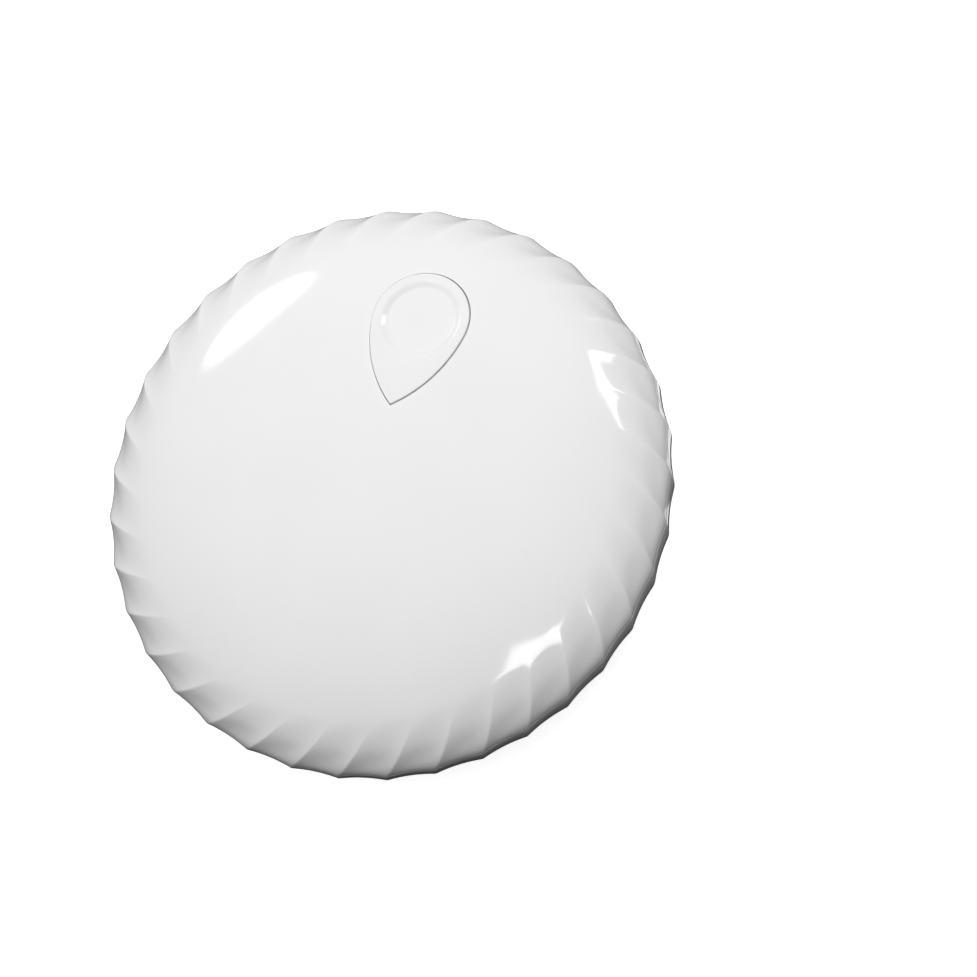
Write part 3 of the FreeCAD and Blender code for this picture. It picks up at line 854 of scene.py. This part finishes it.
def circuitBoard():
    # Solder mask over two sets of tracks, square-on and at 45 degrees, with gold vias, gold rings round
    # the screw holes, pale outlines round the parts, and bare glass laminate on the cut edge.
    look = boardLook
    material, start = newMaterial("boardLaminate")
    place = start.node("ShaderNodeTexCoord", output=3)
    x, y, z = splitPlace(place)
    slanted = start.node("ShaderNodeMapping", None, {"Vector": place, "Rotation": (0, 0, math.radians(45))})

    def tracks(vector, width, row):
        return start.node("ShaderNodeTexBrick", {"offset": 0.37},
                          {"Vector": vector, "Scale": 1 / mm, "Mortar Size": look["trackWide"],
                           "Mortar Smooth": 0.1, "Brick Width": width, "Row Height": row}, 1)

    patch = start.noise(place, 3.5, 1.0).between(0.49, 0.51)
    lines = tracks(place, 2.6, 0.62) * patch + tracks(slanted, 3.4, 0.9) * (1 - patch)
    dots = start.node("ShaderNodeTexVoronoi", None,
                      {"Vector": place, "Scale": 1 / (look["viaSpread"] * mm), "Randomness": 0.9})
    vias = 1 - dots.between(look["viaRadius"] * 0.8, look["viaRadius"])
    rings = 0.0
    for centre in screwPlaces():
        rings = 1 - farFrom(x, y, centre).between(look["screwRing"][1] - 0.03, look["screwRing"][1]) + rings
    silk = 0.0
    for cx, cy, halfX, halfY in ((-5, -5, 4.3, 3.8), (8.8, -2.2, 1.9, 1.5), (8.8, 1.4, 1.9, 1.5), (3.6, -9.4, 1.9, 1.0)):
        outer = within(x - cx, halfX) * within(y - cy, halfY)
        silk = outer - within(x - cx, halfX - 0.14) * within(y - cy, halfY - 0.14) + silk
    goldPart = (vias + rings).maths("MINIMUM", vias + rings, 1.0)
    edge = farFrom(x, y, (0, 0)).between(look["radius"] - 0.03, look["radius"] - 0.01)
    weave = start.node("ShaderNodeTexBrick", {"offset": 0.5},
                       {"Vector": place, "Scale": 1 / mm, "Mortar Size": 0.02, "Brick Width": 0.4, "Row Height": 0.2}, 1)
    grain = start.noise(place, 0.12, 3.0)
    base = lines.blend(colour(look["mask"]), colour(look["track"]))
    base = silk.blend(base, colour(look["silk"]))
    base = goldPart.blend(base, colour(gold))
    base = edge.blend(base, colour(look["laminate"]))
    rough = 0.34 + (grain - 0.5) * 0.12 + edge * 0.35 + silk * 0.2 - goldPart * 0.06
    height = lines * 0.8 + goldPart * 0.5 + silk * 0.3 + weave * 0.1 + grain * 0.1
    return closeMaterial(material, start, {"Base Color": base, "Roughness": rough,
                                           "Metallic": goldPart * (1 - edge)}, {}, height, 0.02)


def mouldedChip(name, look):
    # Black moulding compound: fine matt grain with lighter clouds, and a round mark by the first corner.
    material, start = newMaterial(name)
    place = start.node("ShaderNodeTexCoord", output=3)
    x, y, z = splitPlace(place)
    grain = start.noise(place, 0.05, 3.0, 0.65)
    cloud = start.noise(place, 0.8, 2.0)
    mark = 0.0
    for corner in look["corners"]:
        mark = 1 - farFrom(x, y, corner).between(look["dot"] - 0.02, look["dot"]) + mark
    base = (grain * 0.6 + cloud * 0.4).between(0.3, 0.7).blend(colour(look["colour"]), colour(look["light"]))
    base = mark.blend(base, colour(look["dotColour"]))
    rough = 0.55 + (grain - 0.5) * 0.2 - mark * 0.2
    return closeMaterial(material, start, {"Base Color": base, "Roughness": rough}, {}, grain - mark, 0.008)


def endedBlocks(name, look):
    # Chip parts: a ceramic body whose two ends are dipped in tin. Each row is a centre, a direction, a
    # half length, and how far along and across the row its blocks reach.
    material, start = newMaterial(name)
    place = start.node("ShaderNodeTexCoord", output=3)
    x, y, z = splitPlace(place)
    grain = start.noise(place, 0.06, 3.0, 0.6)
    cloud = start.noise(place, 0.9, 2.0)
    ends = 0.0
    for centre, angle, halfBody, halfLong, halfWide in look["rows"]:
        along, across = turnedBy(x, y, centre, angle)
        reached = within(along, halfLong) * within(across, halfWide)
        ends = reached - reached * within(along, halfBody, 0.03) + ends
    lines = 0.0
    if look["printed"]:
        along, across = turnedBy(x, y, look["rows"][0][0], look["rows"][0][1])
        saw = (along * (1 / 0.5)).maths("PINGPONG", along * (1 / 0.5), 0.5)
        lines = within(saw - 0.25, 0.09) * within(across, 0.55)
    body = (cloud * 0.6 + grain * 0.4).between(0.3, 0.7).blend(colour(look["colour"]), colour(look["light"]))
    if look["printed"]:
        body = lines.blend(body, colour(tin))
    base = ends.blend(body, colour(tin))
    rough = 0.42 + (grain - 0.5) * 0.2 - ends * 0.08
    metallic = ends + lines
    return closeMaterial(material, start, {"Base Color": base, "Roughness": rough,
                                           "Metallic": metallic.maths("MINIMUM", metallic, 1.0)},
                         {}, grain * 0.4 + metallic * 0.6, 0.012)


def lidded(name, look):
    # A crystal's ceramic cup with a bright welded lid inside a narrow rim.
    material, start = newMaterial(name)
    place = start.node("ShaderNodeTexCoord", output=3)
    x, y, z = splitPlace(place)
    lid = 0.0
    for cx, cy, halfX, halfY in look["cups"]:
        lid = within(x - cx, halfX - look["rim"]) * within(y - cy, halfY - look["rim"]) + lid
    grain = start.noise(place, 0.05, 3.0, 0.6)
    scuff = start.noise(place, 0.6, 3.0).between(0.5, 0.7)
    metal = scuff.blend(colour(look["lid"]), colour([c * 0.85 for c in look["lid"]]))
    base = lid.blend(colour(look["cup"]), metal)
    rough = 0.6 - lid * 0.34 + (grain - 0.5) * 0.14 + scuff * 0.06
    return closeMaterial(material, start, {"Base Color": base, "Roughness": rough, "Metallic": lid}, {},
                         grain * 0.3 + lid, 0.01)


def cellSteel():
    # Nickel-plated cell can: spun rings, faint scuffs and a stamped plus sign.
    look = {"colour": (0.64, 0.63, 0.60), "plusAt": (0.0, 6.0), "plusHalf": 1.0, "plusWide": 0.16, "rim": 9.2}
    material, start = newMaterial("cellSteel")
    place = start.node("ShaderNodeTexCoord", output=3)
    x, y, z = splitPlace(place)
    reach = farFrom(x, y, (0, 0))
    rings = start.node("ShaderNodeTexNoise", {"noise_dimensions": "1D"}, {"W": reach, "Scale": 9.0, "Detail": 3.0})
    dx, dy = x - look["plusAt"][0], y - look["plusAt"][1]
    plus = (within(dx, look["plusHalf"]) * within(dy, look["plusWide"])
            + within(dx, look["plusWide"]) * within(dy, look["plusHalf"]))
    plus = plus.maths("MINIMUM", plus, 1.0) * (1 - z.between(1.2, 1.3))
    scuff = start.noise(place, 2.4, 4.0, 0.6).between(0.52, 0.7)
    grain = start.noise(place, 0.07, 3.0)
    shade = scuff * 0.6 + plus * 0.8
    base = shade.maths("MINIMUM", shade, 1.0).blend(colour(look["colour"]), colour([c * 0.78 for c in look["colour"]]))
    rough = 0.24 + (rings - 0.5) * 0.14 + scuff * 0.1 + (grain - 0.5) * 0.05 + plus * 0.1
    return closeMaterial(material, start, {"Base Color": base, "Roughness": rough}, {"Metallic": 1.0},
                         rings * 0.6 + grain * 0.2 - plus * 4.0, 0.006)


cadLooks = {
    "button_seal": polymers["clearSilicone"],
    "snap_dome": metals["springSteel"],
    "battery_pad": polymers["greyFoam"],
    "inner_frame": polymers["framePlastic"],
    "circuit_board": circuitBoard(),
    "board_screws": metals["zincSteel"],
    "shield_can": metals["tinnedSteel"],
    "radio_chip": mouldedChip("blackEpoxyRadio", {
        "corners": [(-7.5, -2.9)], "dot": 0.2, "colour": (0.018, 0.018, 0.019), "light": (0.04, 0.04, 0.042),
        "dotColour": (0.16, 0.16, 0.16)}),
    "motion_sensor": mouldedChip("blackEpoxySensor", {
        "corners": [(-2.3, 3.3)], "dot": 0.12, "colour": (0.02, 0.02, 0.021), "light": (0.045, 0.045, 0.047),
        "dotColour": (0.18, 0.18, 0.18)}),
    "main_crystal": lidded("crystalLidMain", {
        "cups": [(-2.1, -3.4, 0.8, 1.0)], "rim": 0.14, "lid": gold, "cup": (0.35, 0.33, 0.30)}),
    "watch_crystal": lidded("crystalLidWatch", {
        "cups": [(3.6, -9.4, 1.6, 0.75)], "rim": 0.16, "lid": tin, "cup": (0.40, 0.36, 0.30)}),
    "chip_antenna": endedBlocks("antennaCeramic", {
        "rows": [((10.4, -5.4), math.radians(62), 1.25, 1.7, 0.9)], "printed": True,
        "colour": (0.72, 0.72, 0.70), "light": (0.80, 0.80, 0.78)}),
    "storage_capacitors": endedBlocks("capacitorTan", {
        "rows": [((8.8, -2.2), 0.0, 1.15, 1.7, 1.3), ((8.8, 1.4), 0.0, 1.15, 1.7, 1.3)], "printed": False,
        "colour": (0.42, 0.29, 0.17), "light": (0.52, 0.37, 0.23)}),
    "board_passives": endedBlocks("passiveTan", {
        "rows": [((0.0, 1.4), math.radians(90), 0.26, 0.55, 10.5), ((0.0, 6.2), math.radians(90), 0.26, 0.55, 5.5),
                 ((0.0, -9.0), math.radians(90), 0.26, 0.55, 10.0), ((4.5, 3.1), 0.0, 0.26, 0.55, 1.6),
                 ((-6.5, 9.3), 0.0, 0.26, 0.55, 1.6)], "printed": False,
        "colour": (0.34, 0.23, 0.14), "light": (0.46, 0.33, 0.21)}),
    "sounder_tape": polymers["adhesiveTape"],
    "sounder_plate": metals["brassPlate"],
    "sounder_ceramic": metals["silverCoat"],
    "sounder_springs": metals["goldPlate"],
    "positive_contact": metals["goldPlate"],
    "negative_contact": metals["goldPlate"],
    "coin_cell_can": cellSteel(),
    "coin_cell_gasket": polymers["cellGasket"],
    "coin_cell_cap": cellSteel(),
    "coin_cell_core": polymers["cellFilling"],
}
for node, material in cadLooks.items():
    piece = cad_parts[node]
    if not piece.material_slots:
        piece.data.materials.append(material)
    for place in piece.material_slots:
        place.material = material
print("materials on", len(cadLooks), "carried-over nodes")

addPiece("frontShellSkin", frontShell(), "housing", white, ["front_shell"])
addPiece("pinButtonSkin", pinButton(), "button", whiteButton, ["pin_button"])
addPiece("backShellSkin", backShell(), "housing", whiteBack, ["back_shell"])
addPiece("batteryDoorSkin", batteryDoor(), "door", whiteDoor, ["battery_door"])
addPiece("doorRingSkin", torusRing(door["ringRadius"], door["ringSection"], door["ringHeight"]), "door",
         blackRubber, ["door_ring"])
addPiece("seamRingSkin", torusRing(16.3, 0.29, 3.0), "housing", blackRubber, ["seam_ring"])
print("pieces made")

# ---- stage, light and camera

view = {
    "azimuth": math.radians(63.6),
    "tilt": math.radians(23.2),
    "leanCos": 0.6652,
    "leanSin": 0.7466,
    "widthAtTag": 59.9,
    "lens": 800.0,
    "sensor": 36.0,
    "sideways": 6.05,
    "upwards": 0.30,
}

across = Vector((math.cos(view["azimuth"]), math.sin(view["azimuth"]), 0))
away = Vector((-math.sin(view["azimuth"]), math.cos(view["azimuth"]), 0))
tipped = away * math.cos(view["tilt"]) + Vector((0, 0, 1)) * math.sin(view["tilt"])
rightward = across * view["leanCos"] - tipped * view["leanSin"]
upward = across * view["leanSin"] + tipped * view["leanCos"]
towards = rightward.cross(upward)
tagCentre = Vector((0, 0, case["seam"]))


def fromTag(right, up, near):
    # a place given in the camera's own directions from the middle of the tag, in millimetres
    return (tagCentre + rightward * right + upward * up + towards * near) * mm


def placeAt(thing, place, zAxis, xAxis):
    z = zAxis.normalized()
    y = z.cross(xAxis).normalized()
    x = y.cross(z)
    turnedTo = Matrix((x, y, z)).transposed().to_4x4()
    thing.matrix_world = Matrix.Translation(place) @ turnedTo


cameraData = bpy.data.cameras.new("camera")
cameraData.lens = view["lens"]
cameraData.sensor_width = view["sensor"]
cameraData.clip_start = 0.01
cameraData.clip_end = 10.0
camera = bpy.data.objects.new("camera", cameraData)
bpy.context.scene.collection.objects.link(camera)
distance = view["lens"] / view["sensor"] * view["widthAtTag"]
placeAt(camera, fromTag(view["sideways"], view["upwards"], distance), towards, rightward)
bpy.context.scene.camera = camera


# Each light: where it stands from the tag as right, up and towards the camera, its width and height,
# all in millimetres, its power in watts, and whether the plastic mirrors it.
lights = {
    "cameraBox": ((-10, -22, 330), 90, 60, 0.14, True),
    "leftStrip": ((-162, 174, 37), 78, 52, 0.045, True),
    "topBox": ((62, 173, 153), 58, 44, 0.05, True),
    "edgeCard": ((140, 50, -192), 90, 116, 0.07, True),
    "backFill": ((-110, 170, -380), 260, 260, 1.0, False),
    "skyFront": ((0, 112, 412), 300, 300, 0.65, False),
    "skyLeft": ((-330, 60, 160), 350, 350, 0.485, False),
    "skyTop": ((-40, 330, 160), 350, 350, 0.64, False),
    "skyRight": ((330, 40, 120), 350, 350, 0.10, False),
}
roundLights = ["leftStrip"]


def areaLight(name, place, width, height, power, mirrored):
    # a light that faces the tag
    data = bpy.data.lights.new(name, "AREA")
    data.shape = "ELLIPSE" if name in roundLights else "RECTANGLE"
    data.size = width * mm
    data.size_y = height * mm
    data.energy = power
    light = bpy.data.objects.new(name, data)
    bpy.context.scene.collection.objects.link(light)
    at = fromTag(*place)
    facing = at - fromTag(0, 0, 0)
    sideways = towards.cross(facing) if abs(facing.normalized().dot(towards)) < 0.9 else rightward
    placeAt(light, at, facing, sideways)
    light.visible_glossy = mirrored
    light.visible_camera = False
    return light


for lightName, settings in lights.items():
    areaLight(lightName, *settings)

# The floor: a pale plate just clear of the lowered door, which fades into the white background. Only
# the camera sees it, so that the lights behind the tag still reach its edge.
floor = {
    "reach": 170.0,
    "drop": 1.5,
    "solidTo": 50.0,
    "goneAt": 165.0,
    "light": (0.92, 0.92, 0.92),
    "dark": (0.87, 0.87, 0.87),
    "grain": 0.5,
    "glow": 0.7,
}


def paleFloor():
    # a square plate whose alpha falls from 1 to 0 with the distance from the tag
    material, start = newMaterial("paleFloor")
    place = start.node("ShaderNodeTexCoord", output=3)
    x, y, z = splitPlace(place)
    shown = 1 - farFrom(x, y, (0, 0)).between(floor["solidTo"], floor["goneAt"])
    base = start.noise(place, floor["grain"]).blend(colour(floor["light"]), colour(floor["dark"]))
    closeMaterial(material, start, {"Base Color": base, "Alpha": shown},
                  {"Roughness": 0.9, "Emission Color": colour((1, 1, 1)), "Emission Strength": floor["glow"]})
    far = floor["reach"]
    corners = [(-far, -far), (far, -far), (far, far), (-far, far)]
    points = [(a, b, -floor["drop"]) for a, b in corners]
    plate = bpy.data.objects.new("floor", makeMesh("floor", points, [np.array([[0, 1, 2, 3]])]))
    plate.data.materials.append(material)
    bpy.context.scene.collection.objects.link(plate)
    plate.visible_diffuse = False
    plate.visible_glossy = False
    plate.visible_shadow = False


paleFloor()

world = bpy.data.worlds.new("studio")
world.use_nodes = True
background = world.node_tree.nodes["Background"]
background.inputs["Color"].default_value = (1, 1, 1, 1)
seen = Wire(world.node_tree).node("ShaderNodeLightPath", output=0)
world.node_tree.links.new((seen * 0.99 + 0.01).socket, background.inputs["Strength"])
bpy.context.scene.world = world
bpy.context.scene.view_settings.view_transform = "Standard"
